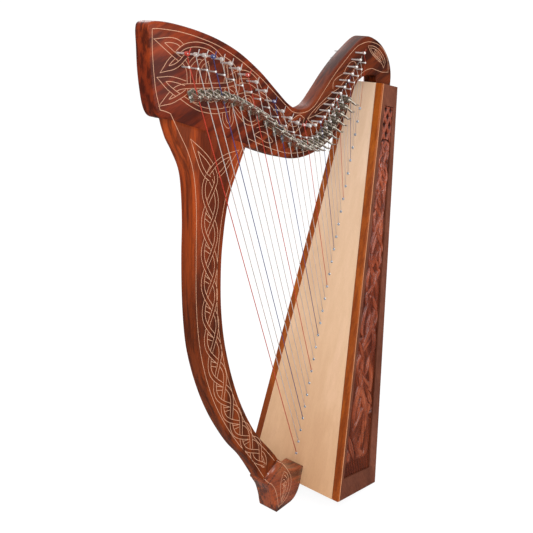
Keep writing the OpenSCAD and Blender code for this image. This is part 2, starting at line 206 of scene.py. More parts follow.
# Colours of each wood: its dark streaks, then deep, middle and light.
NECK_TONES = ((0.045, 0.005, 0.001), (0.13, 0.014, 0.002), (0.215, 0.027, 0.002), (0.30, 0.048, 0.003))
PILLAR_TONES = ((0.055, 0.008, 0.001), (0.17, 0.024, 0.002), (0.275, 0.045, 0.003), (0.41, 0.080, 0.005))
FOOT_TONES = ((0.06, 0.010, 0.004), (0.18, 0.035, 0.012), (0.29, 0.060, 0.018), (0.44, 0.096, 0.017))
SIDE_TONES = ((0.064, 0.016, 0.008), (0.106, 0.029, 0.014), (0.138, 0.040, 0.020), (0.178, 0.055, 0.029))
STRIP_TONES = ((0.13, 0.020, 0.003), (0.21, 0.038, 0.003), (0.30, 0.064, 0.005), (0.38, 0.095, 0.008))
CARVED_TONES = ((0.07, 0.010, 0.004), (0.16, 0.025, 0.008), (0.235, 0.040, 0.012), (0.31, 0.060, 0.017))
BIRCH_TONES = ((0.55, 0.345, 0.21), (0.59, 0.38, 0.235), (0.635, 0.42, 0.265), (0.675, 0.455, 0.30))
SPRUCE_TONES = ((0.42, 0.25, 0.12), (0.55, 0.36, 0.18), (0.64, 0.44, 0.24), (0.70, 0.52, 0.30))
BINDING_TONES = ((0.34, 0.12, 0.05), (0.44, 0.165, 0.07), (0.52, 0.215, 0.095), (0.58, 0.26, 0.125))
# How a wood's colour changes along an axis, from start to end: its tint at shares of that length.
# Painted light on the soundboard: painted shade makes it darker and warmer towards the bottom, and it is
# lighter and greyer towards the top.
BOARD_PAINTED_FALLOFF = ("Z", 0.0, 1.1, [(0.0, (0.86, 0.74, 0.62)), (0.45, (1, 1, 1)), (1.0, (0.99, 1.06, 1.17))])
# The pillar is darker in the middle and lighter near the neck; the grey-blue cast near the foot is a painted
# sheen.
PILLAR_TINT_AND_SHEEN = ("Z", 0.1, 1.1, [(0.0, (0.78, 0.8, 0.9)), (0.5, (0.56, 0.54, 0.6)), (0.85, (1.18, 1.05, 1))])
NECK_FADE = ("X", -0.4, 0.4, [(0.0, (0.92, 0.80, 0.66)), (0.45, (0.80, 0.72, 0.74)),
                              (0.65, (0.48, 0.48, 0.6))])
CARVED_FADE = ("Z", 0.1, 1.0, [(0.0, (0.62, 0.62, 0.65)), (0.45, (0.85, 0.82, 0.8)),
                               (1.0, (0.9, 0.88, 0.95))])

BOARD_LEAN = 15  # degrees by which the soundboard leans from upright
neck_wood = wood("neck_rosewood", NECK_TONES, -68, (0.3, 0.1, 0.0), fade=NECK_FADE)
pillar_wood = wood("pillar_rosewood", PILLAR_TONES, -4, (0.0, 0.2, 0.4), streaks=0.75, fade=PILLAR_TINT_AND_SHEEN)
foot_wood = wood("foot_rosewood", FOOT_TONES, 78, (0.1, 0.4, 0.1), streaks=0.85, gloss=0.22, coat=1.0)
side_wood = wood("side_rosewood", SIDE_TONES, BOARD_LEAN, (0.5, 0.3, 0.2), streaks=0.35, gloss=0.42,
                 coat=0.05)
strip_wood = wood("strip_rosewood", STRIP_TONES, BOARD_LEAN, (0.7, 0.1, 0.3), streaks=0.5, gloss=0.36)
carved_wood = wood("carved_rosewood", CARVED_TONES, BOARD_LEAN, (0.2, 0.6, 0.1), streaks=0.3, gloss=0.20,
                   coat=1.0, attribute="relief", fade=CARVED_FADE)
birch_wood = wood("soundboard_birch", BIRCH_TONES, BOARD_LEAN, (0.1, 0.1, 0.7), streaks=0.25, gloss=0.5,
                  figure=8.0, pores=0.12, coat=0.05, fade=BOARD_PAINTED_FALLOFF)
spruce_wood = wood("plain_spruce", SPRUCE_TONES, BOARD_LEAN, (0.3, 0.3, 0.3), streaks=0.4, gloss=0.6)
binding_wood = wood("binding_wood", BINDING_TONES, BOARD_LEAN, (0.4, 0.2, 0.6), streaks=0.2, gloss=0.4,
                    pores=0.3)
inlay_wood = mottled("inlay_maple", (0.60, 0.32, 0.19), 150.0, 4.0, 0.84, 0.65, 0.5)[0]
nickel = metal("nickel", (0.66, 0.61, 0.53), 0.22, shine=0.95)
steel = metal("steel", (0.80, 0.78, 0.76), 0.24, 0.08, shine=0.45)
eyelet = metal("eyelet", (0.62, 0.68, 0.76), 0.22, 0.08, shine=0.8)
red_nylon = nylon("red_nylon", (0.45, 0.035, 0.016))
blue_nylon = nylon("blue_nylon", (0.03, 0.04, 0.16))
white_nylon = nylon("white_nylon", (0.46, 0.39, 0.36))


# ---------------------------------------------------------------- making pieces

def add_piece(name, mesh, material, body="frame", replaced=(), smooth=True):
    """A new piece that rides on a body, in place of the CAD nodes that it replaces."""
    mesh.name = name
    piece = bpy.data.objects.new(name, mesh)
    bpy.context.scene.collection.objects.link(piece)
    mesh.materials.clear()
    mesh.materials.append(material)
    mesh.polygons.foreach_set("use_smooth", [smooth] * len(mesh.polygons))
    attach(piece, body)
    if replaced:
        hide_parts(*replaced)
    return piece


def mesh_of(points, faces):
    """A mesh of points and faces, which are tuples of their numbers."""
    mesh = bpy.data.meshes.new("mesh")
    mesh.from_pydata([tuple(p) for p in points], [], faces)
    mesh.validate()
    return mesh


def joined(parts):
    """One mesh from (points, faces) pairs."""
    points, faces = [], []
    for part_points, part_faces in parts:
        start = len(points)
        points.extend(part_points)
        faces.extend([tuple(i + start for i in face) for face in part_faces])
    return mesh_of(points, faces)


def moved(part, matrix):
    return [matrix @ Vector(p) for p in part[0]], part[1]


def lathe(stations, sides=24):
    """A turned shape round -Y, from (distance out, radius) pairs. A radius of 0 closes an end."""
    points, rings = [], []
    for out, radius in stations:
        if radius <= 0:
            rings.append([len(points)])
            points.append((0, -out, 0))
            continue
        rings.append(list(range(len(points), len(points) + sides)))
        points.extend((radius * math.cos(2 * math.pi * i / sides), -out,
                       radius * math.sin(2 * math.pi * i / sides)) for i in range(sides))
    faces = []
    for a, b in zip(rings, rings[1:]):
        for i in range(sides):
            j = (i + 1) % sides
            if len(a) == 1:
                faces.append((a[0], b[j], b[i]))
            elif len(b) == 1:
                faces.append((a[i], a[j], b[0]))
            else:
                faces.append((a[i], a[j], b[j], b[i]))
    return points, faces


def profile(base, steps):
    """Points for lathe, from steps of (millimetres past base, radius in millimetres)."""
    return [(base + out * MM, radius * MM) for out, radius in steps]


def rod_faces(rings, sides):
    """The faces of a closed rod whose points come ring by ring."""
    faces = []
    for ring in range(rings - 1):
        for i in range(sides):
            a, b, j = ring * sides, (ring + 1) * sides, (i + 1) % sides
            faces.append((a + i, a + j, b + j, b + i))
    last = (rings - 1) * sides
    return faces + [tuple(reversed(range(sides))), tuple(range(last, last + sides))]


def tube(path, radius, sides=10):
    """A closed round tube along a path."""
    path = [Vector(p) for p in path]
    points, side = [], None
    for i, p in enumerate(path):
        ahead = (path[min(i + 1, len(path) - 1)] - path[max(i - 1, 0)]).normalized()
        if side is None:
            side = ahead.orthogonal().normalized()
        side = (side - ahead * side.dot(ahead)).normalized()
        up = ahead.cross(side)
        points.extend(p + (side * math.cos(2 * math.pi * k / sides)
                           + up * math.sin(2 * math.pi * k / sides)) * radius for k in range(sides))
    return points, rod_faces(len(path), sides)


def welded(node_name):
    """A CAD node's mesh with its doubled corners joined, which the caller frees."""
    mesh = bmesh.new()
    mesh.from_mesh(NODES[node_name].data)
    bmesh.ops.remove_doubles(mesh, verts=mesh.verts, dist=1e-6)
    mesh.verts.ensure_lookup_table()
    return mesh


def islands(node_name):
    """The corners of each separate solid in a CAD node, from the pillar to the player."""
    mesh = welded(node_name)
    seen, found = set(), []
    for start in mesh.verts:
        if start.index in seen:
            continue
        group, todo = [], [start]
        seen.add(start.index)
        while todo:
            v = todo.pop()
            group.append(v.co[:])
            for edge in v.link_edges:
                other = edge.other_vert(v)
                if other.index not in seen:
                    seen.add(other.index)
                    todo.append(other)
        found.append(np.array(group))
    mesh.free()
    return sorted(found, key=lambda p: p[:, 0].mean())


def middle(points):
    return (points.min(0) + points.max(0)) / 2


# ---------------------------------------------------------------- curves in the XZ plane

def smooth_line(points, step):
    """A smooth curve through given points, with a point about every step."""
    p = np.array(points, float)
    p = np.vstack([2 * p[0] - p[1], p, 2 * p[-1] - p[-2]])
    line = []
    for a, b, c, d in zip(p, p[1:], p[2:], p[3:]):
        n = max(1, int(round(np.linalg.norm(c - b) / step)))
        for t in np.arange(n) / n:
            line.append(0.5 * (2 * b + (c - a) * t + (2 * a - 5 * b + 4 * c - d) * t * t
                               + (3 * b - a - 3 * c + d) * t ** 3))
    line.append(p[-2])
    return np.array(line)


def with_corners(runs, step):
    """Smooth runs joined end to end, with a sharp corner where one ends and the next begins."""
    lines = [smooth_line(run, step) for run in runs]
    return np.vstack([lines[0]] + [line[1:] for line in lines[1:]])


def arc_length(line):
    """How far along a line each of its points lies."""
    return np.concatenate([[0], np.cumsum(np.linalg.norm(np.diff(line, axis=0), axis=1))])


def side_normals(line, limit, closed=False):
    """Mitred left-hand normals of a line in the plane."""
    if closed:
        ahead = np.roll(line, -1, 0) - line
        behind = line - np.roll(line, 1, 0)
    else:
        step = np.diff(line, axis=0)
        ahead = np.vstack([step, step[-1:]])
        behind = np.vstack([step[:1], step])
    ahead = ahead / np.maximum(np.linalg.norm(ahead, axis=1, keepdims=True), 1e-9)
    behind = behind / np.maximum(np.linalg.norm(behind, axis=1, keepdims=True), 1e-9)
    normal = np.stack([-(ahead + behind)[:, 1], (ahead + behind)[:, 0]], 1)
    length = np.linalg.norm(normal, axis=1, keepdims=True)
    normal = normal / np.maximum(length, 1e-9)
    return normal * np.minimum(2 / np.maximum(length, 1e-9), limit)


# ---------------------------------------------------------------- wood plates with rounded edges

def face_outline(node_name, y):
    """The outer outline of a CAD node's flat face at y, as (x, z) points in order."""
    mesh = welded(node_name)
    flat = {f for f in mesh.faces if all(abs(v.co.y - y) < 1e-5 for v in f.verts)}
    follow = {}
    for edge in mesh.edges:
        touching = [f for f in edge.link_faces if f in flat]
        if len(touching) == 1:
            a, b = edge.verts
            follow.setdefault(a.index, []).append(b.index)
            follow.setdefault(b.index, []).append(a.index)
    loops, seen = [], set()
    for start in follow:
        if start in seen:
            continue
        loop, here = [start], start
        seen.add(start)
        while True:
            ahead = [i for i in follow[here] if i not in seen]
            if not ahead:
                break
            here = ahead[0]
            seen.add(here)
            loop.append(here)
        loops.append(loop)
    longest = max(loops, key=lambda loop: np.ptp([mesh.verts[i].co.x for i in loop]))
    outline = np.array([(mesh.verts[i].co.x, mesh.verts[i].co.z) for i in longest])
    mesh.free()
    area = np.sum(outline[:, 0] * np.roll(outline[:, 1], -1) - np.roll(outline[:, 0], -1) * outline[:, 1])
    return outline if area > 0 else outline[::-1]


JOINT_LENGTH = 40 * MM  # an outline's straight steps longer than this are joints
ROLL_RATIO = 1.9  # length over depth of the roll from the foot's face down to the pillar's
FOOT_TOP = 110 * MM  # height over which the foot's joint lies


def joint_ends(outline):
    """Each straight cut of an outline where the plate meets another, as its two end points."""
    ahead = np.roll(outline, -1, 0)
    gaps = np.linalg.norm(ahead - outline, axis=1)
    return [(i, (outline[i], ahead[i])) for i, gap in enumerate(gaps) if gap > JOINT_LENGTH]


def no_drop(point):
    return 0.0


def rounded_plate(name, node_name, radius, material, proud, roll=no_drop, fade=14 * MM):
    """A copy of a flat CAD plate with a smooth outline and rounded edges. The rounding grows to radius within
    fade of a joint. roll gives, from a joint's middle point, how far the face drops there, over ROLL_RATIO
    times that length."""
    low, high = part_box(node_name)
    half = high.y
    outline = face_outline(node_name, low.y)
    joints = joint_ends(outline)
    cuts = [i for i, _ in joints]
    drops_at = {i: roll((a + b) / 2) for i, (a, b) in joints}
    line, radii, sets, rolls, along_run = [], [], [], [], []
    for start, end in zip(cuts, cuts[1:] + cuts[:1]):
        count = (end - start) % len(outline)
        run = np.array([outline[(start + 1 + i) % len(outline)] for i in range(count)])
        smooth_run = smooth_line(run, 4 * MM) if len(run) > 1 else run
        along = arc_length(smooth_run)
        nearest = np.minimum(along, along[-1] - along)
        share = np.clip(nearest / fade, 0, 1)
        share = share * share * (3 - 2 * share)
        drop_here = np.where(along < along[-1] / 2, drops_at[start], drops_at[end])
        at_end = nearest == 0
        keep = at_end | (nearest > drop_here * ROLL_RATIO + 1 * MM)
        steps = np.zeros_like(smooth_run)
        if len(smooth_run) > 1:
            for place, inner, ends in ((0, 1, dict(joints)[start]), (-1, -2, dict(joints)[end])):
                across = ends[1] - ends[0]
                across = np.array([-across[1], across[0]]) / np.linalg.norm(across)
                leaving = smooth_run[inner] - smooth_run[place]
                steps[place] = leaving / abs(np.dot(leaving, across))
        line.extend(smooth_run[keep])
        radii.extend((radius * share)[keep])
        sets.extend((proud * share)[keep])
        rolls.extend((drop_here * at_end)[keep])
        along_run.extend(steps[keep])
    line, radii, proud = np.array(line), np.array(radii)[:, None], np.array(sets)[:, None]
    rolls, along_run = np.array(rolls)[:, None], np.array(along_run)
    inward = side_normals(line, 1.6, closed=True)
    angles = np.linspace(0, math.pi / 2, 6)
    rings = [(1 - math.cos(a), 1 - math.sin(a)) for a in angles]
    rings = ([(inset, drop, 1) for inset, drop in reversed(rings)]
             + [(inset, drop, -1) for inset, drop in rings])
    points, faces, count = [], [], len(line)
    for inset, drop, side in rings:
        level = side * (half - (radii + rolls)[:, 0] * drop)
        moved_in = line + inward * (radii * inset - proud) + along_run * rolls * ROLL_RATIO * inset
        points.extend((x, y, z) for (x, z), y in zip(moved_in, level))
    for ring in range(len(rings) - 1):
        for i in range(count):
            j = (i + 1) % count
            a, b = ring * count, (ring + 1) * count
            faces.append((a + i, b + i, b + j, a + j))
    last = (len(rings) - 1) * count
    faces.append(tuple(range(count)))
    faces.append(tuple(reversed(range(last, last + count))))
    add_piece(name, mesh_of(points, faces), material, replaced=[node_name])


def foot_step():
    """How far the foot's face stands out past the pillar's."""
    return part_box("foot_block")[1].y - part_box("pillar")[1].y


def foot_drop(point):
    """How far the foot's face drops at a joint that has its middle at point."""
    return foot_step() if point[1] > FOOT_TOP else 0.0


def plates():
    rounded_plate("neck_wood", "neck", 4 * MM, neck_wood, 2.2 * MM)
    rounded_plate("pillar_wood", "pillar", 4 * MM, pillar_wood, 3.0 * MM)
    rounded_plate("foot_wood", "foot_block", 7 * MM, foot_wood, 2.0 * MM, foot_drop, 42 * MM)


def foot_roll():
    """How far below the foot's face its surface lies at a point, where it rolls down to the pillar."""
    step = foot_step()
    outline = face_outline("foot_block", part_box("foot_block")[0].y)
    a, b = next(ends for _, ends in joint_ends(outline) if (ends[0][1] + ends[1][1]) / 2 > FOOT_TOP)
    along = (b - a) / np.linalg.norm(b - a)
    across = np.array([-along[1], along[0]])
    if np.dot(outline.mean(0) - a, across) < 0:
        across = -across

    def depth(point):
        away = min(max(float(np.dot(point - a, across)) / (step * ROLL_RATIO), 0.0), 1.0)
        return step * (1 - math.sqrt(1 - (1 - away) ** 2))

    return depth


# ---------------------------------------------------------------- soundbox

def finish_node(node_name, material, bevel=0.0, segments=3):
    """A carried-over CAD node with its finish and, if asked, softened edges."""
    piece = NODES[node_name]
    piece.data.materials.clear()
    piece.data.materials.append(material)
    if bevel:
        weld = piece.modifiers.new("weld", "WELD")
        weld.merge_threshold = 1e-5
        soft = piece.modifiers.new("soft_edges", "BEVEL")
        soft.width = bevel
        soft.segments = segments
        soft.limit_method = "ANGLE"
        soft.angle_limit = math.radians(50)
        soft.use_clamp_overlap = False
        even = piece.modifiers.new("even_shading", "WEIGHTED_NORMAL")
        even.keep_sharp = True


def soundbox():
    for side in ("left", "right"):
        finish_node(f"{side}_side", side_wood, 0.8 * MM)
        finish_node(f"{side}_edge_strip", strip_wood, 2.2 * MM, 4)
        finish_node(f"{side}_binding", binding_wood)
    finish_node("back_panel", side_wood, 0.8 * MM)
    for end in ("bottom_board", "top_block"):
        finish_node(end, side_wood)
    finish_node("soundboard", birch_wood)
    for inner in ("string_rib", "linings", "back_braces", "dowels"):
        finish_node(inner, spruce_wood)


# ---------------------------------------------------------------- carved side panels

def panel_corners(node_name, side):
    """The outer face of a carved panel's CAD board: front and rear corners at the bottom, then at the top."""
    mesh = welded(node_name)
    outer = max(mesh.faces, key=lambda f: f.calc_area() * (f.normal.y * side > 0.5))
    normal = outer.normal.copy()
    level = outer.verts[0].co.dot(normal)
    corners = [v.co.copy() for v in mesh.verts if abs(v.co.dot(normal) - level) < 1e-4]
    mesh.free()
    corners.sort(key=lambda c: c.z)
    bottom = sorted(corners[:2], key=lambda c: c.x)
    top = sorted(corners[2:], key=lambda c: c.x)
    return *bottom, *top, normal


CARVE_DEPTH = 4.6 * MM
CYCLES = 6.0  # repeats of the pattern up the panel, where run counts them
# The rest is in widths of the panel. Each vine's phase, swing, turns per cycle and half width:
VINES = ((0.0, 0.36, 0.6, 0.10), (0.34, 0.34, 0.6, 0.11), (0.66, 0.36, 0.6, 0.095), (0.2, 0.30, 1.2, 0.06),
         (0.6, 0.38, 0.9, 0.07), (0.85, 0.20, 0.7, 0.08))
LEAVES = 5.2  # per cycle
BERRIES = 2  # per cycle
BERRY_R = 0.065
NOTCH = 0.22
LATTICE_START = 0.905  # share of the panel's length
ARCH_RISE, ARCH_HALF, ARCH_BAND = 0.16, 0.42, 0.07


def smoothstep(x, low, high):
    t = np.clip((x - low) / (high - low), 0, 1)
    return t * t * (3 - 2 * t)


def carve_vines(height, x, run, ratio):
    """Grooved vines that cross over and under."""
    for phase, swing, speed, thick in VINES:
        turn = 2 * np.pi * (run * speed + phase)
        centre = swing * np.sin(turn) + 0.04 * np.sin(turn * 2.3 + 9 * phase)
        slope = swing * np.cos(turn) * 2 * np.pi * speed / ratio
        across = (x - centre) / np.sqrt(1 + slope ** 2) / thick
        over = 0.70 + 0.26 * np.cos(turn * 2 + 5 * phase)
        body = np.sqrt(np.clip(1 - across ** 2, 0, 1))
        grooves = 0.16 * np.cos(across * 8.5) * body * (0.6 + 0.4 * np.sin(turn * 5 + across * 3))
        height = np.maximum(height, body ** 0.6 * over + grooves)
    return height


def carve_leaves(height, x, run, ratio):
    """Veined leaves on both sides in turn, with a cut round each."""
    for k in range(int(CYCLES * LEAVES)):
        side = -1 if k % 2 else 1
        cx = side * (0.20 + 0.12 * math.sin(k * 1.9))
        cr = (k + 0.5 + 0.25 * math.sin(k * 2.7)) / LEAVES
        lean = side * (0.25 + 0.35 * math.sin(k * 2.1)) * (-1) ** (k // 3)
        dx, dr = x - cx, (run - cr) * ratio
        u = dx * math.sin(lean) + dr * math.cos(lean)
        v = dx * math.cos(lean) - dr * math.sin(lean)
        long, wide = 0.30 + 0.08 * math.sin(k), 0.10 + 0.025 * math.cos(k * 1.3)
        outline = wide * np.clip(1 - np.abs(u / long) ** 1.6, 0, 1)
        inside = np.clip(1 - np.abs(v) / np.maximum(outline, 1e-4), 0, 1)
        vein = 0.30 * np.exp(-(v / 0.014) ** 2) + 0.12 * (0.5 + 0.5 * np.cos((u * 1.2 + np.abs(v) * 2) * 75))
        leaf = smoothstep(inside, 0.0, 0.5) * (0.98 - vein)
        edge = (inside > 0) & (inside < 0.25)
        height = np.where(edge, np.minimum(height, 0.25), height)
        height = np.where(inside >= 0.25, np.maximum(height * 0.6, leaf), height)
    return height


def carve_berries(height, x, run, ratio):
    for k in range(int(CYCLES * BERRIES)):
        cx, cr = 0.27 * math.sin(k * 2.4), (k + 0.35) / BERRIES
        away = np.hypot(x - cx, (run - cr) * ratio) / BERRY_R
        height = np.maximum(height, np.sqrt(np.clip(1 - away ** 2, 0, 1)) * 0.95)
    return height


def carve_notches(height, x, run, ratio):
    """Ribbed triangles that cut in from both edges in turn."""
    for k in range(int(CYCLES)):
        side = -1 if k % 2 else 1
        dx, dr = (0.5 - side * x), (run - (k + 0.62)) * ratio
        notch = (dx < NOTCH) & (np.abs(dr) < (NOTCH - dx) * 0.8)
        ribs = 0.25 + 0.3 * np.cos((dx + np.abs(dr)) * 110)
        height = np.where(notch, ribs * (dx < NOTCH - 0.05), height)
    return height


def carve_lattice(height, x, up):
    """A lattice over the arch at the panel's top, with a bare band between."""
    lattice = np.minimum(np.abs(((x * 0.9 + up * 0.5 + 0.25) % 0.5) - 0.25),
                         np.abs(((x * 0.9 - up * 0.5 + 0.25) % 0.5) - 0.25))
    crossed = smoothstep(0.12 - lattice, 0, 0.05) * (0.85 + 0.15 * np.cos(lattice * 110))
    arch = ARCH_RISE * (1 - np.abs(x) / ARCH_HALF)
    height = np.where(up > arch + ARCH_BAND, crossed, height)
    return np.where((up <= arch + ARCH_BAND) & (up > arch), 0.0, height)


def carve_relief(s, t, width, length):
    """Height of the carving from 0, its ground, to 1. s runs from the soundboard to the back, and t up the
    panel."""
    run = np.cumsum(1 / (width / width.max()), axis=0)
    run = run / run.max() * CYCLES
    x = s - 0.5
    ratio = length / CYCLES / width.mean()
    height = np.full_like(s, 0.30) + 0.08 * np.sin(x * 75 + 2 * np.sin(run * 9))
    for carve in (carve_vines, carve_leaves, carve_berries, carve_notches):
        height = carve(height, x, run, ratio)
    height = carve_lattice(height, x, (t - LATTICE_START) * length / width)
    hatch = 0.35 + 0.2 * np.cos(x * 90)
    low = 1 - smoothstep(t, 0.035, 0.05)
    height = height * (1 - low) + hatch * low
    edge = np.minimum(np.minimum(s, 1 - s) * width, np.minimum(t, 1 - t) * length)
    return np.clip(height, 0, 1) * (0.5 + 0.5 * smoothstep(edge, 0.4 * MM, 2.2 * MM))


def carved_panel(side_name, side):
    """A carved board: a grid raised by carve_relief, with walls and a flat back."""
    node_name = f"{side_name}_carved_panel"
    front_low, rear_low, front_top, rear_top, normal = panel_corners(node_name, side)
    length = ((front_top + rear_top) / 2 - (front_low + rear_low) / 2).length
    cell = 1.1 * MM
    rows = int(length / cell)
    columns = int((rear_low - front_low).length / cell * 0.8)
    t, s = np.meshgrid(np.linspace(0, 1, rows), np.linspace(0, 1, columns), indexing="ij")
    width = (rear_low - front_low).length * (1 - t) + (rear_top - front_top).length * t
    height = carve_relief(s, t, width, length)
    corner = [np.array(c) for c in (front_low, rear_low, front_top, rear_top)]
    flat = ((corner[0] * (1 - s[..., None]) + corner[1] * s[..., None]) * (1 - t[..., None])
            + (corner[2] * (1 - s[..., None]) + corner[3] * s[..., None]) * t[..., None])
    points = flat - np.array(normal) * CARVE_DEPTH * (1 - height[..., None])
    base = flat - np.array(normal) * (CARVE_DEPTH + 0.3 * MM)
    index = np.arange(rows * columns).reshape(rows, columns)
    quads = np.stack([index[:-1, :-1], index[:-1, 1:], index[1:, 1:], index[1:, :-1]], -1).reshape(-1, 4)
    if side > 0:
        quads = quads[:, ::-1]
    rim = np.concatenate([index[0, :], index[1:, -1], index[-1, -2::-1], index[-2:0:-1, 0]])
    start = rows * columns
    under = [start + i for i in range(len(rim))]
    walls = [(rim[i], under[i], under[(i + 1) % len(rim)], rim[(i + 1) % len(rim)]) for i in range(len(rim))]
    if side > 0:
        walls = [w[::-1] for w in walls]
    back = tuple(reversed(under)) if side < 0 else tuple(under)
    all_points = np.vstack([points.reshape(-1, 3), base.reshape(-1, 3)[rim]])
    faces = [tuple(int(i) for i in q) for q in quads] + [tuple(int(i) for i in w) for w in walls] + [back]
    mesh = mesh_of(all_points, faces)
    # The relief height also drives carved_wood's painted shade in the hollows and walls and its painted
    # highlight on the tops.
    relief = mesh.attributes.new("relief", "FLOAT", "POINT")
    relief.data.foreach_set("value", np.concatenate([height.ravel(), np.zeros(len(rim))]).astype(np.float32))
    add_piece(f"{side_name}_carving", mesh, carved_wood, replaced=[node_name])


# ---------------------------------------------------------------- strings and their fittings

pin_axes = sorted([middle(p) for p in islands("tuning_pins")]
                  + [middle(np.array([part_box(f"tuning_pin_{k:02d}")[i] for i in (0, 1)])) for k in MARKED],
                  key=lambda c: c[0])
bridge_axes = [middle(p) for p in islands("bridge_pins")]
board_points = [middle(p) for p in islands("grommets")]
INTO_BOX = (math.cos(math.radians(BOARD_LEAN)), -math.sin(math.radians(BOARD_LEAN)))
KNOT_IN = 13 * MM  # from the soundboard's face to a knot
PIN_R = 2.1 * MM
BRIDGE_R = 1.5 * MM
# distances from the neck's middle plane, towards the levers or, for PIN_FAR, away from them
FACE = -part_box("neck")[0].y
COIL_OUT = FACE + 22.5 * MM
BRIDGE_LINE = FACE + 18 * MM
PIN_TIP = FACE + 29 * MM
BRIDGE_TIP = FACE + 20.5 * MM
PIN_FAR = FACE + 24 * MM


def string_r(k):
    return (STRING_D_LOW - (STRING_D_LOW - STRING_D_TOP) * (k - 1) / (STRINGS - 1)) / 2


def tangent(a, ra, b, rb):
    """Direction and right-hand normal of the line that passes two circles in the XZ plane on their right."""
    d = b - a
    turn = math.asin((ra - rb) / np.linalg.norm(d))
    angle = math.atan2(d[1], d[0]) + turn
    return np.array([math.cos(angle), math.sin(angle)]), np.array([math.sin(angle), -math.cos(angle)])


def flat_xz(p):
    return np.array([p[0], p[2]])


def string_parts(k):
    """One string from its knot to its tuning pin, and its coil with a cut end."""
    r = string_r(k)
    board, bridge, pin = (flat_xz(c[k - 1]) for c in (board_points, bridge_axes, pin_axes))
    up, right = tangent(board, 0, bridge, BRIDGE_R + r)
    on, right_on = tangent(bridge, BRIDGE_R + r, pin, PIN_R + r)
    inside = np.array(INTO_BOX)
    path = [(board + inside * deep, 0.0) for deep in (KNOT_IN, 4 * MM, -1 * MM)]
    bend = [math.atan2(n[1], n[0]) for n in (right, right_on)]
    for share in np.linspace(0, 1, 5):
        a = bend[0] + (bend[1] - bend[0]) * share
        path.append((bridge + (BRIDGE_R + r) * np.array([math.cos(a), math.sin(a)]), BRIDGE_LINE))
    start = bend[1]
    path.append((pin + (PIN_R + r) * np.array([math.cos(start), math.sin(start)]), COIL_OUT))
    points = [(p[0], -y, p[1]) for p, y in path]
    speaking = tube(points, r)
    coil, steps = [], 14
    for i in range(COIL_TURNS * steps + 1):
        a = start + 2 * math.pi * i / steps
        out = COIL_OUT + (i / steps) * 2.15 * r
        coil.append((pin[0] + (PIN_R + r) * math.cos(a), -out, pin[1] + (PIN_R + r) * math.sin(a)))
    end_out = coil[-1][1] - 1.4 * r
    tail_lean = 0.25 + 0.5 * random.random()
    for rise in (0.6, 2.2, 5.0, 7.5):
        coil.append((pin[0] + (PIN_R * 0.4 + tail_lean * rise * MM), end_out, pin[1] + PIN_R + rise * MM))
    return speaking, tube(coil, r, 8)


def knot_part(k):
    centre = Vector(board_points[k - 1]) + Vector((INTO_BOX[0], 0, INTO_BOX[1])) * KNOT_IN
    ball = lathe(profile(0, [(-3, 0), (-2.6, 1.5), (-1.4, 2.7), (0, 3.1), (1.4, 2.7), (2.6, 1.5),
                             (3, 0)]), 12)
    return moved(ball, Matrix.Translation(centre))


def strings():
    for k in range(1, STRINGS + 1):
        colour, node_name, slot = (
            (red_nylon, "strings_red", "string_red") if k in RED else
            (blue_nylon, "strings_blue", "string_blue") if k in BLUE else
            (white_nylon, "strings_white", "string_white"))
        speaking, winding = string_parts(k)
        add_piece(f"string_{k:02d}", joined([speaking, knot_part(k)]), colour,
                  replaced=[node_name])
        body = f"tuning_pin_{k:02d}" if k in MARKED else "frame"
        add_piece(f"string_winding_{k:02d}", joined([winding]), colour, body)


def tuning_pin_part():
    """A plated pin: domed end, string hole's collar, thinner shaft, and a tapered square for the key."""
    shaft = lathe(profile(-PIN_FAR, [(14, 0), (14, 1.7), (15.2, 1.9)])
                  + profile(COIL_OUT, [(-7.5, 1.75), (-6.5, 2.1)])
                  + profile(PIN_TIP, [(-5.0, 2.1), (-4.6, 3.1), (-3.2, 3.4), (-1.6, 3.0), (-0.5, 1.9),
                                      (0, 0)]), 20)
    points = []
    for y, w in profile(PIN_FAR, [(-14.5, 1.55), (-0.8, 1.3), (0, 0.95)]):
        points.extend([(-w, y, -w), (w, y, -w), (w, y, w), (-w, y, w)])
    return shaft, (points, rod_faces(3, 4))


def pins():
    shaft, square = tuning_pin_part()
    for k in range(1, STRINGS + 1):
        place = Matrix.Translation((pin_axes[k - 1][0], 0, pin_axes[k - 1][2]))
        name = f"tuning_pin_{k:02d}"
        replaced, body = ([name], name) if k in MARKED else (["tuning_pins"], "frame")
        piece = add_piece(f"{name}_plated", joined([moved(shaft, place), moved(square, place)]), steel,
                          body, replaced)
        for polygon in piece.data.polygons:
            polygon.use_smooth = len(polygon.vertices) != 4 or polygon.center.y < PIN_FAR - 14 * MM
    bridge = lathe(profile(0, [(-5, 0), (-5, 1.5)])
                   + profile(BRIDGE_LINE, [(-1.6, 1.5), (-1.1, 1.75), (-0.8, 1.5), (0.8, 1.5), (1.1, 2.6)])
                   + profile(BRIDGE_TIP, [(-0.7, 2.6), (-0.15, 1.4), (0, 0)]), 18)
    parts = [moved(bridge, Matrix.Translation((c[0], 0, c[2]))) for c in bridge_axes]
    add_piece("bridge_pins_turned", joined(parts), steel, replaced=["bridge_pins"])
    rim = lathe(profile(0, [(-2, 1.3), (-2, 2.3), (1, 2.4), (1, 3.9), (1.8, 3.8), (2.8, 3.1), (3.3, 2.1),
                            (3.2, 1.5), (2.4, 1.3), (-2, 1.3)]))
    turn = Matrix.Rotation(math.radians(BOARD_LEAN), 4, "Y") @ Matrix.Rotation(math.radians(-90), 4, "Z")
    parts = [moved(rim, Matrix.Translation(Vector(c)) @ turn) for c in board_points]
    add_piece("string_grommets", joined(parts), eyelet, replaced=["grommets"])


# ---------------------------------------------------------------- levers

LEVER_REACH = 28.0  # millimetres from the axle to the tip
TURN_OUT = 17.5  # millimetres from the axle to where the tip turns level
DROOP_FIRST, DROOP_LAST = 10, 33  # degrees, from the longest string's lever to the shortest's


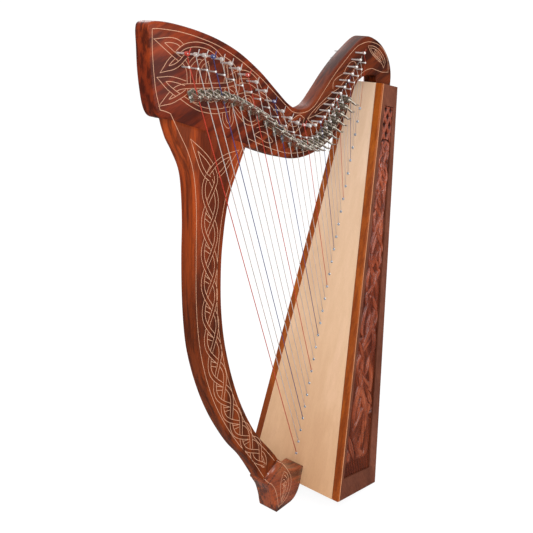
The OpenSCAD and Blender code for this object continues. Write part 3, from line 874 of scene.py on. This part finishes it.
def lever_matrix(k):
    """Place of a lever's axle: X along the axle, Z up the string, -Y out of the neck."""
    joint = JOINTS[f"lever_{k:02d}"]
    x = -Vector(joint["axis"]).normalized()
    z = x.cross(Vector((0, 1, 0)))
    turn = Matrix((x, Vector((0, 1, 0)), z)).transposed().to_4x4()
    return Matrix.Translation(Vector(joint["pos_m"])) @ turn


def lever_part(droop):
    """A cast lever: round boss, a thin deep fin that slopes down by droop degrees, and a flat finger tip that
    turns back to the level."""
    along_x = Matrix.Rotation(math.radians(90), 4, "Z")
    boss = lathe(profile(0, [(-3.2, 0), (-3.2, 3.4), (-2.7, 4.0), (2.7, 4.0), (3.2, 3.4), (3.2, 0)]), 28)
    axle = lathe(profile(0, [(-6.2, 0), (-6.2, 1.1), (-5.9, 1.5), (5.9, 1.5), (6.2, 1.1), (6.2, 0)]), 16)
    fall = math.tan(math.radians(droop))
    # distance out, half height, half width, and how far the section's middle hangs under its top edge
    stations = [(1.5, 2.6, 1.8, 0.0), (4.5, 3.0, 1.5, 0.3), (8.0, 3.4, 1.2, 0.6), (11.5, 3.3, 1.1, 0.7),
                (14.5, 2.8, 1.4, 0.4), (TURN_OUT, 1.9, 2.0, 0.0), (20.0, 1.2, 2.5, 0.0),
                (22.5, 0.95, 2.4, 0.0), (25.0, 0.8, 1.9, 0.0), (27.0, 0.65, 1.2, 0.0),
                (LEVER_REACH, 0.4, 0.5, 0.0)]
    sides, points = 14, []
    for out, tall, wide, hang in stations:
        lift = -fall * min(out, TURN_OUT + 1) + 1.2 - hang + 0.06 * max(0.0, out - TURN_OUT) ** 1.3
        for i in range(sides):
            a = 2 * math.pi * i / sides
            c, s = math.cos(a), math.sin(a)
            x = wide * math.copysign(abs(c) ** 0.6, c)
            z = lift + tall * math.copysign(abs(s) ** 0.75, s)
            points.append(Vector((x, -out, z)) * MM)
    return [moved(boss, along_x), moved(axle, along_x), (points, rod_faces(len(stations), sides))]


def levers():
    for k in range(1, LEVERS + 1):
        droop = DROOP_FIRST + (DROOP_LAST - DROOP_FIRST) * (k - 1) / (LEVERS - 1)
        place = lever_matrix(k)
        parts = [moved(part, place) for part in lever_part(droop)]
        name = f"lever_{k:02d}"
        add_piece(f"{name}_cast", joined(parts), nickel, name, [name])
    finish_node("lever_brackets", nickel, 0.35 * MM, 2)
    finish_node("lever_screws", steel)


# ---------------------------------------------------------------- inlay

# In millimetres: an inlaid line's width, a woven strand's width, and the distance between a line's points.
LINE_W = 1.0
STRAND_W = 9.0
STEP = 1.5
INLAY_RISE = 0.12 * MM
INLAY_DEPTH = 0.8 * MM


def crossings(a, b, same):
    """Where line a crosses line b: pairs of distances along each."""
    coarse = 3
    pa, pb = a[::coarse], b[::coarse]
    d1, d2 = np.diff(pa, axis=0), np.diff(pb, axis=0)
    cross = d1[:, None, 0] * d2[None, :, 1] - d1[:, None, 1] * d2[None, :, 0]
    gap = pb[None, :-1] - pa[:-1, None]
    cross = np.where(np.abs(cross) < 1e-9, 1e-9, cross)
    t = (gap[..., 0] * d2[None, :, 1] - gap[..., 1] * d2[None, :, 0]) / cross
    u = (gap[..., 0] * d1[:, None, 1] - gap[..., 1] * d1[:, None, 0]) / cross
    hit = (t >= 0) & (t < 1) & (u >= 0) & (u < 1)
    la, lb = arc_length(a)[::coarse], arc_length(b)[::coarse]
    found = []
    for i, j in zip(*np.nonzero(hit)):
        if same and j <= i + 2:
            continue
        found.append((la[i] + t[i, j] * (la[min(i + 1, len(la) - 1)] - la[i]),
                      lb[j] + u[i, j] * (lb[min(j + 1, len(lb) - 1)] - lb[j])))
    return found


def distance_to(points, line):
    """Distance from each point to a polyline."""
    a, b = line[:-1], line[1:]
    d = b - a
    t = np.clip(((points[:, None] - a[None]) * d[None]).sum(2) / np.maximum((d * d).sum(1), 1e-9), 0, 1)
    return np.linalg.norm(points[:, None] - (a[None] + t[..., None] * d[None]), axis=2).min(1)


def weave(strands, width=STRAND_W):
    """The visible edge lines of strands that pass over and under each other in turn."""
    lengths = [arc_length(s) for s in strands]
    met = []
    for i in range(len(strands)):
        for j in range(i, len(strands)):
            met += [dict(pair=(i, j), at=hit, over=None) for hit in crossings(strands[i], strands[j], i == j)]
    for i in range(len(strands)):
        mine = sorted([(c["at"][side], n, side) for n, c in enumerate(met) for side in (0, 1)
                       if c["pair"][side] == i])
        known = [(order, met[n]["over"] == side) for order, (_, n, side) in enumerate(mine)
                 if met[n]["over"] is not None]
        parity = (known[0][0] + (0 if known[0][1] else 1)) % 2 if known else 0
        for order, (_, n, side) in enumerate(mine):
            if met[n]["over"] is None:
                met[n]["over"] = side if order % 2 == parity else 1 - side
    lines = []
    for i, strand in enumerate(strands):
        normals = side_normals(strand, 6)
        for sign in (-1, 1):
            edge = strand + sign * normals * width / 2
            shown = np.ones(len(edge), bool)
            for p in range(len(edge)):
                near = np.abs(lengths[i] - lengths[i][p]) < 4 * width
                own = strand[near]
                if len(own) > 2 and distance_to(edge[p:p + 1], own)[0] < width / 2 - 0.3:
                    shown[p] = False
            for c in met:
                under = 1 - c["over"]
                if c["pair"][under] != i:
                    continue
                over_index = c["pair"][c["over"]]
                window = np.abs(lengths[i] - c["at"][under]) < 3 * width
                near = np.abs(lengths[over_index] - c["at"][c["over"]]) < 3 * width
                over_line = strands[over_index][near]
                if window.any() and len(over_line) > 1:
                    shown[window] &= distance_to(edge[window], over_line) > width / 2 - 0.2
            start = None
            for p in range(len(edge) + 1):
                inside = p < len(edge) and shown[p]
                if inside and start is None:
                    start = p
                elif not inside and start is not None:
                    if p - start > 4:
                        lines.append(edge[start:p])
                    start = None
    return lines


def ribbon(line, side, face, depth, width=LINE_W):
    """A thin inlaid strip along a line of millimetre points, set into the wood's face. depth says how far
    the wood lies below the face at a point."""
    normals = side_normals(line, 2.0) * width / 2
    points = []
    for p, n in zip(line, normals):
        level = face - depth(p * MM)
        top, bottom = side * (level + INLAY_RISE), side * (level - INLAY_DEPTH)
        a, b = (p + n) * MM, (p - n) * MM
        points += [(a[0], top, a[1]), (b[0], top, b[1]), (b[0], bottom, b[1]), (a[0], bottom, a[1])]
    return points, [quad[::side] for quad in rod_faces(len(line), 4)]


def lines_of(paths):
    return [smooth_line(path, STEP) for path in paths]


NECK_BORDER = [
    [(-402, 1236), (-383, 1235), (-334, 1227), (-282, 1213), (-227, 1193), (-169, 1163), (-107, 1123),
     (-74, 1097), (-40, 1070), (-16, 1051), (6, 1036), (32, 1030), (54, 1030), (72, 1034), (91, 1044),
     (125, 1073), (163, 1105), (202, 1132), (242, 1157), (268, 1166), (304, 1169), (346, 1159),
     (376, 1139), (392, 1114), (396, 1088)],
    [(-402, 1236), (-404, 1199), (-403, 1160), (-400, 1125), (-392, 1090)],
    [(-392, 1090), (-380, 1086), (-366, 1080)],
    [(298, 1103), (318, 1104), (341, 1098), (366, 1091), (396, 1088)],
    [(-148, 1000), (-121, 987), (-89, 973), (-51, 958), (-9, 945), (40, 939), (85, 942), (122, 951),
     (154, 966), (182, 984), (207, 1009), (223, 1038), (237, 1066), (256, 1086), (280, 1098), (298, 1103)],
]

NECK_STRANDS = [
    # upper fish tail, and the arch that runs out of it
    [[(-314, 1184), (-324, 1180), (-335, 1172), (-353, 1165), (-376, 1163)],
     [(-376, 1163), (-364, 1175), (-349, 1185), (-334, 1195), (-316, 1201), (-287, 1201), (-257, 1193),
      (-234, 1179), (-217, 1160), (-211, 1138), (-216, 1116), (-232, 1100), (-254, 1093), (-276, 1100),
      (-288, 1118), (-290, 1142), (-280, 1163), (-262, 1172)]],
    [[(-322, 1194), (-338, 1208), (-360, 1214), (-386, 1214)],
     [(-386, 1214), (-365, 1198), (-343, 1182), (-326, 1172), (-316, 1156), (-315, 1134), (-313, 1114),
      (-304, 1100), (-290, 1096), (-276, 1106), (-266, 1126), (-262, 1150), (-268, 1168), (-284, 1178),
      (-302, 1172), (-318, 1158)]],
    # lower fish tail, and the pair of strands that cross the rings
    [[(-322, 1116), (-331, 1112), (-343, 1108), (-362, 1103), (-382, 1102)],
     [(-382, 1102), (-371, 1111), (-356, 1121), (-340, 1126), (-318, 1126), (-284, 1123), (-246, 1120),
      (-206, 1117), (-172, 1121), (-140, 1118)]],
    [[(-324, 1132), (-344, 1139), (-364, 1144), (-385, 1145)],
     [(-385, 1145), (-370, 1130), (-351, 1116), (-334, 1106), (-312, 1092), (-286, 1079), (-247, 1069),
      (-212, 1068), (-190, 1068)]],
    # the pointed loop over the levers
    [[(-186, 1104), (-204, 1118), (-210, 1146), (-211, 1166)],
     [(-211, 1166), (-197, 1158), (-183, 1144), (-176, 1126), (-178, 1102), (-190, 1086), (-198, 1064),
      (-196, 1044), (-206, 1034), (-217, 1046), (-218, 1066), (-206, 1086)]],
]

# single lines of the knots from the pointed loop to the rising arm
NECK_LINES = [
    [(-198, 1137), (-169, 1143), (-139, 1136), (-117, 1120), (-102, 1100)],
    [(-194, 1093), (-158, 1096), (-121, 1089), (-89, 1073), (-65, 1054), (-49, 1036)],
    [(-168, 1118), (-140, 1112), (-112, 1096), (-84, 1080), (-58, 1062), (-34, 1040)],
    [(-189, 1066), (-174, 1049), (-153, 1031), (-131, 1025), (-111, 1030), (-95, 1045)],
    [(-187, 1072), (-168, 1054), (-146, 1037), (-127, 1033), (-108, 1044)],
    [(-128, 1004), (-105, 1008), (-82, 998), (-65, 980), (-85, 981), (-112, 996), (-128, 1004)],
    [(-118, 1018), (-92, 1018), (-66, 1006), (-46, 990), (-20, 980), (8, 984), (26, 998)],
    [(-49, 1036), (-34, 1014), (-10, 996), (16, 990), (38, 1000), (48, 1016)],
    [(-40, 1042), (-22, 1020), (0, 1005), (20, 1003), (34, 1014)],
    [(48, 1016), (30, 1026), (6, 1020), (-10, 1006), (-24, 990)],
    [(59, 1013), (80, 1028), (118, 1047), (156, 1063), (178, 1069)],
    [(59, 1013), (92, 1018), (131, 1026), (160, 1040), (182, 1062)],
    [(87, 1023), (106, 1036), (130, 1044), (152, 1050)],
    [(156, 1071), (158, 1087), (176, 1097), (204, 1104)],
    [(201, 1104), (207, 1114), (222, 1125), (238, 1128), (250, 1120)],
    [(178, 1069), (196, 1080), (214, 1094), (236, 1104), (250, 1120)],
    [(59, 1013), (76, 1002), (98, 998), (122, 1004), (142, 1018)],
]

FEATHER = [
    [(298, 1160), (324, 1157), (350, 1146), (371, 1129), (379, 1114), (373, 1100)],
    [(298, 1160), (313, 1143), (338, 1126), (362, 1113), (373, 1100)],
    [(308, 1154), (326, 1151), (349, 1140), (366, 1125), (372, 1112)],
    [(310, 1152), (322, 1141), (342, 1129), (362, 1117)],
]
SPIRAL = (-149, 1069)
FOOT_BORDER = [
    [(-97.5, 120.9), (-90, 109), (-78, 98), (-66.5, 81), (-59, 62), (-54, 42), (-51, 24), (-48, 10)],
    [(-48, 10), (-22, 18), (-5, 34), (3, 56), (1, 80), (-10, 103), (-28, 130), (-46, 148.3)],
]
FOOT_LEAF = [
    [(-26, 110), (-12, 92), (-7, 70), (-12, 46), (-36, 18)],
    [(-26, 110), (-37, 92), (-41, 68), (-40, 42), (-36, 18)],
]
FOOT_KNOT = [
    [(-26, 98), (-15, 84), (-14, 70), (-21, 62), (-29, 68), (-24, 76), (-16, 70)],
    [(-34, 84), (-28, 86), (-22, 78), (-24, 66), (-33, 60)],
    [(-34, 72), (-28, 74), (-26, 60), (-30, 44), (-36, 30)],
    [(-18, 62), (-22, 50), (-28, 38), (-34, 28)],
]

PILLAR_BORDER = [
    [(-366, 1080), (-343, 1036), (-326, 1004), (-313, 967), (-307, 925), (-306, 870), (-310, 790),
     (-314, 705), (-314, 640), (-310, 580), (-301, 525), (-287, 470), (-266, 410), (-236, 347),
     (-192, 272), (-146, 207), (-96, 124)],
    [(-162, 985), (-190, 938), (-216, 890), (-231, 843), (-240, 800), (-248, 745), (-252, 680),
     (-251, 620), (-245, 563), (-234, 505), (-219, 449), (-198, 388), (-168, 322), (-130, 255),
     (-84, 194), (-54, 152)],
]
BRAID_SPINE = [(-262, 930), (-267, 860), (-271, 780), (-274, 700), (-273, 620), (-266, 545),
               (-254, 480), (-235, 416), (-206, 350), (-169, 284), (-134, 230), (-104, 178), (-92, 158)]
BRAID_HALF = 20.0  # how far a strand swings to each side
BRAID_PITCH = 204.0  # length of a strand's whole swing
BRAID_START = 0.335  # share of a swing by which the plait starts late
BRAID_POINT = 70.0  # length over which the plait narrows to its point
LEAF_ENDS = {
    "left": [(-306, 1010), (-288, 995), (-268, 975), (-254, 955), (-247, 938)],
    "left_low": [(-306, 1010), (-297, 985), (-288, 962), (-276, 944), (-264, 934)],
    "right": [(-188, 974), (-216, 972), (-241, 964), (-260, 952), (-275, 938)],
    "right_low": [(-188, 974), (-206, 958), (-224, 944), (-240, 936)],
}


def braid():
    """Three strands plaited down the pillar, which run out of two crossed leaves and end in a point."""
    spine = smooth_line(BRAID_SPINE, STEP)
    along = arc_length(spine)
    normal = side_normals(spine, 1.2)
    left_over = (along[-1] - along) / BRAID_POINT
    swing = BRAID_HALF * np.sqrt(np.clip(left_over, 0, 1))
    strands = []
    for lag in range(3):
        t = 2 * math.pi * (along / BRAID_PITCH + BRAID_START + lag / 3)
        strands.append(spine + normal * (np.sin(t) * swing)[:, None])
    return spine, normal, along, strands


def hatching(along, spine, normal):
    """A pair of slanted strokes in each of the plait's left-hand cells."""
    strokes = []
    pitch = BRAID_PITCH / 3
    first = (0.75 - BRAID_START) * BRAID_PITCH % pitch
    for k in range(1, int(along[-1] / pitch)):
        turn = first + pitch * k
        if turn > along[-1] - BRAID_POINT:
            continue
        for start, end in (((-20, -13.5), (-4, 3.0)), ((-8, -15.0), (3.5, 0.0))):
            ends = []
            for place, off in (start, end):
                i = int(np.searchsorted(along, turn + place))
                ends.append(spine[i] + normal[i] * off)
            strokes.append(smooth_line(ends, STEP))
    return strokes


def pillar_lines():
    """The pillar's border lines, its plait with the leaves that it runs out of, and the hatching."""
    spine, normal, along, strands = braid()
    order = sorted(range(3), key=lambda i: strands[i][0, 0])
    left, centre, right = (strands[i] for i in order)
    right_leaf = with_corners([LEAF_ENDS["right_low"][::-1], LEAF_ENDS["right"]], STEP)
    left_leaf = with_corners([LEAF_ENDS["left_low"][::-1], LEAF_ENDS["left"]], STEP)

    def flow(a, b):
        bridge = smooth_line([a[-4], a[-1], b[3], b[6]], STEP)
        return np.vstack([a[:-1], bridge[2:-2], b[7:]])

    ends = [flow(right_leaf, left), flow(left_leaf, right), centre]
    return lines_of(PILLAR_BORDER) + weave(ends) + hatching(along, spine, normal)


def neck_lines():
    """The neck's border lines and knots, its spiral, and the feather with its stripes."""
    strands = [with_corners(runs, STEP) for runs in NECK_STRANDS]
    stripes = []
    for share in np.linspace(0.15, 0.85, 7):
        a = np.array([318 + 42 * share, 1148 - 26 * share])
        stripes.append(smooth_line([a + (-3, -9), a + (3, -1), a + (8, 3)], STEP))
    turns = [smooth_line([(SPIRAL[0] + r * math.cos(a), SPIRAL[1] + r * math.sin(a))
                          for a in np.radians(np.arange(start, end + 1, 30))], STEP)
             for r, start, end in ((8, 0, 300), (14, -60, 240), (21, -30, 210))]
    return lines_of(NECK_BORDER + FEATHER + NECK_LINES) + weave(strands) + stripes + turns


def inlays():
    foot_lines = lines_of(FOOT_BORDER + FOOT_LEAF + FOOT_KNOT)
    for name, lines, node_name, depth in (("neck", neck_lines(), "neck", no_drop),
                                          ("pillar", pillar_lines(), "pillar", no_drop),
                                          ("foot", foot_lines, "foot_block", foot_roll())):
        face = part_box(node_name)[1].y
        for side_name, side in (("left", LEFT), ("right", RIGHT)):
            parts = [ribbon(line, side, face, depth) for line in lines]
            add_piece(f"{name}_inlay_{side_name}", joined(parts), inlay_wood, smooth=False)


# ---------------------------------------------------------------- studio

CAMERA_PLACE = Vector((-1.4119, -1.1454, 1.3368))
CAMERA_TURN = math.radians(49.658)
CAMERA_DOWN = math.radians(20.317)
LENS = 54.33
AIM = Vector((0, 0, 0.65))  # where the lights point
LIGHTS = (("key", (-2.6, -1.6, 2.6), 1.6, 60), ("fill", (0.8, -3.0, 1.2), 2.2, 34),
          ("back", (1.2, 2.4, 2.6), 1.6, 30))  # name, place, width and watts
FLOOR = [(-60, -60, 0), (60, -60, 0), (60, 60, 0), (-60, 60, 0)]


def look_along(thing, direction):
    thing.rotation_euler = direction.to_track_quat("-Z", "Y").to_euler()


def studio_world():
    """An even white backdrop, which glossy surfaces see as dark low down and bright overhead."""
    world = bpy.data.worlds.new("studio")
    bpy.context.scene.world = world
    world.use_nodes = True
    tree = world.node_tree
    where = node(tree, "ShaderNodeSeparateXYZ", {
        "Vector": node(tree, "ShaderNodeTexCoord").outputs["Generated"]})
    overhead = ramp(tree, where.outputs["Z"], [(0.05, (0.2, 0.2, 0.2)), (0.4, (0.4, 0.4, 0.4)),
                                               (0.75, (1.5, 1.5, 1.5))])
    path = node(tree, "ShaderNodeLightPath")
    soft = mix(tree, path.outputs["Is Glossy Ray"], (0.95, 0.95, 0.95), overhead.outputs[0])
    colour = mix(tree, path.outputs["Is Camera Ray"], soft, (1.0, 1.0, 1.0))
    tree.links.new(colour, tree.nodes["Background"].inputs["Color"])
    bpy.context.scene.view_settings.view_transform = "Standard"


def studio_floor():
    """A floor that the camera sees as nearly white, with faint shadows, and glossy surfaces see as dark."""
    floor_mesh = mesh_of(FLOOR, [(0, 1, 2, 3)])
    floor = bpy.data.objects.new("floor", floor_mesh)
    bpy.context.scene.collection.objects.link(floor)
    material, tree, shader = new_material("pale_floor")
    shader.inputs["Base Color"].default_value = (0.9, 0.9, 0.9, 1)
    shader.inputs["Roughness"].default_value = 0.9
    shader.inputs["Specular IOR Level"].default_value = 0.0
    path = node(tree, "ShaderNodeLightPath")
    white = node(tree, "ShaderNodeEmission", {"Color": (1.06, 1.06, 1.06, 1)})
    dark = node(tree, "ShaderNodeEmission", {"Color": (0.16, 0.15, 0.14, 1)})
    seen = node(tree, "ShaderNodeMixShader", {0: 0.85, 1: shader.outputs[0], 2: white.outputs[0]})
    lit = node(tree, "ShaderNodeMixShader", {
        0: path.outputs["Is Glossy Ray"], 1: shader.outputs[0], 2: dark.outputs[0]})
    both = node(tree, "ShaderNodeMixShader", {
        0: path.outputs["Is Camera Ray"], 1: lit.outputs[0], 2: seen.outputs[0]})
    tree.links.new(both.outputs[0], tree.nodes["Material Output"].inputs["Surface"])
    floor_mesh.materials.append(material)


def studio_lights():
    for name, place, size, watts in LIGHTS:
        lamp = bpy.data.lights.new(name, "AREA")
        lamp.shape = "DISK"
        lamp.size = size
        lamp.energy = watts
        made = bpy.data.objects.new(name, lamp)
        bpy.context.scene.collection.objects.link(made)
        made.location = place
        look_along(made, AIM - Vector(place))


def studio_camera():
    data = bpy.data.cameras.new("camera")
    data.lens = LENS
    data.sensor_width = 36
    data.clip_start = 0.05
    camera = bpy.data.objects.new("camera", data)
    bpy.context.scene.collection.objects.link(camera)
    ahead = Vector((math.sin(CAMERA_TURN) * math.cos(CAMERA_DOWN),
                    math.cos(CAMERA_TURN) * math.cos(CAMERA_DOWN), -math.sin(CAMERA_DOWN)))
    camera.location = CAMERA_PLACE
    look_along(camera, ahead)
    bpy.context.scene.camera = camera


studio_world()
studio_floor()
studio_lights()
studio_camera()
plates()
soundbox()
carved_panel("left", LEFT)
carved_panel("right", RIGHT)
strings()
pins()
levers()
inlays()
